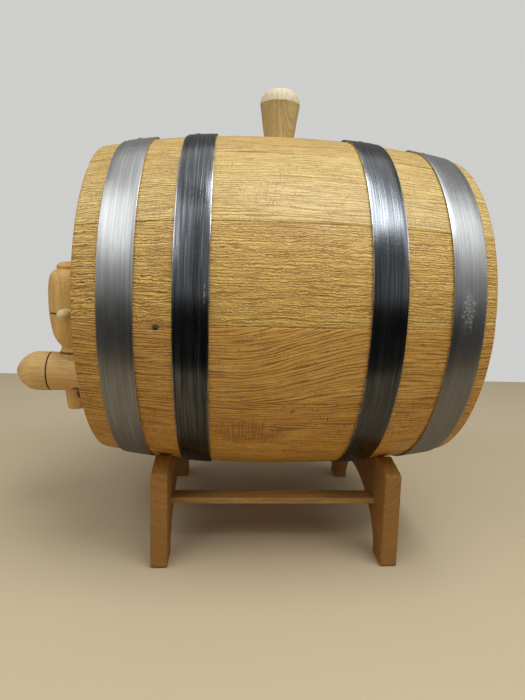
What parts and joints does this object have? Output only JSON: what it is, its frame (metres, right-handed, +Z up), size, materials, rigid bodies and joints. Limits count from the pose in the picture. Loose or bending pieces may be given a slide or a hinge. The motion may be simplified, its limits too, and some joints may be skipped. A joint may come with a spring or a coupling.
{
  "type": "oak wine barrel",
  "caption": "Small oak barrel with steel hoops lying on a cradle stand, with a bung on top and a turned wooden tap in the front head.",
  "frame": {"origin": "on the surface under the stand, in the middle of the whole object's length and width", "axes": "+Z up; the barrel's axis along X, with the tap at -X; +Y away from the pictured side"},
  "size_m": [0.303, 0.229, 0.3113],
  "materials": {
    "oak": "rough-sawn oak with a light oil",
    "stand_oak": "stained oak, satin",
    "tap_wood": "turned and oiled",
    "pale_wood": "plain turned",
    "hoop_steel": "brushed strip",
    "rivet_steel": "satin"
  },
  "bodies": {
    "stand": {"far_stretcher": "stand_oak", "front_cradle_board": "stand_oak", "near_stretcher": "stand_oak", "rear_cradle_board": "stand_oak"},
    "barrel": {"front_bilge_hoop": "hoop_steel", "front_bilge_hoop_rivet_1": "rivet_steel", "front_bilge_hoop_rivet_2": "rivet_steel", "front_end_hoop": "hoop_steel", "front_end_hoop_rivet_1": "rivet_steel", "front_end_hoop_rivet_2": "rivet_steel", "front_head_board_1": "oak", "front_head_board_2": "oak", "front_head_board_3": "oak", "front_head_board_4": "oak", "front_head_dowel_1": "pale_wood", "front_head_dowel_2": "pale_wood", "front_head_dowel_3": "pale_wood", "front_head_dowel_4": "pale_wood", "front_head_dowel_5": "pale_wood", "front_head_dowel_6": "pale_wood", "rear_bilge_hoop": "hoop_steel", "rear_bilge_hoop_rivet_1": "rivet_steel", "rear_bilge_hoop_rivet_2": "rivet_steel", "rear_end_hoop": "hoop_steel", "rear_end_hoop_rivet_1": "rivet_steel", "rear_end_hoop_rivet_2": "rivet_steel", "rear_head_board_1": "oak", "rear_head_board_2": "oak", "rear_head_board_3": "oak", "rear_head_board_4": "oak", "rear_head_dowel_1": "pale_wood", "rear_head_dowel_2": "pale_wood", "rear_head_dowel_3": "pale_wood", "rear_head_dowel_4": "pale_wood", "rear_head_dowel_5": "pale_wood", "rear_head_dowel_6": "pale_wood", "stave_01_bung": "oak", "stave_02": "oak", "stave_03": "oak", "stave_04": "oak", "stave_05": "oak", "stave_06": "oak", "stave_07": "oak", "stave_08": "oak", "stave_09": "oak", "stave_10": "oak", "stave_11": "oak", "stave_12": "oak", "stave_13": "oak", "stave_14": "oak", "tap_body": "tap_wood"},
    "bung": {"bung": "pale_wood"},
    "tap_key": {"tap_key": "tap_wood", "tap_key_peg": "pale_wood"}
  },
  "joints": [
    {"name": "barrel_lift", "type": "slide", "parent": "stand", "child": "barrel", "axis": [0, 0, 1], "range_m": [0, 0.1]},
    {"name": "bung_pull", "type": "slide", "parent": "barrel", "child": "bung", "axis": [0, 0, 1], "range_m": [0, 0.07]},
    {"name": "key_turn", "type": "hinge", "parent": "barrel", "child": "tap_key", "pos_m": [-0.109, 0, 0.1087], "axis": [0, 0, 1], "continuous": true}
  ]
}
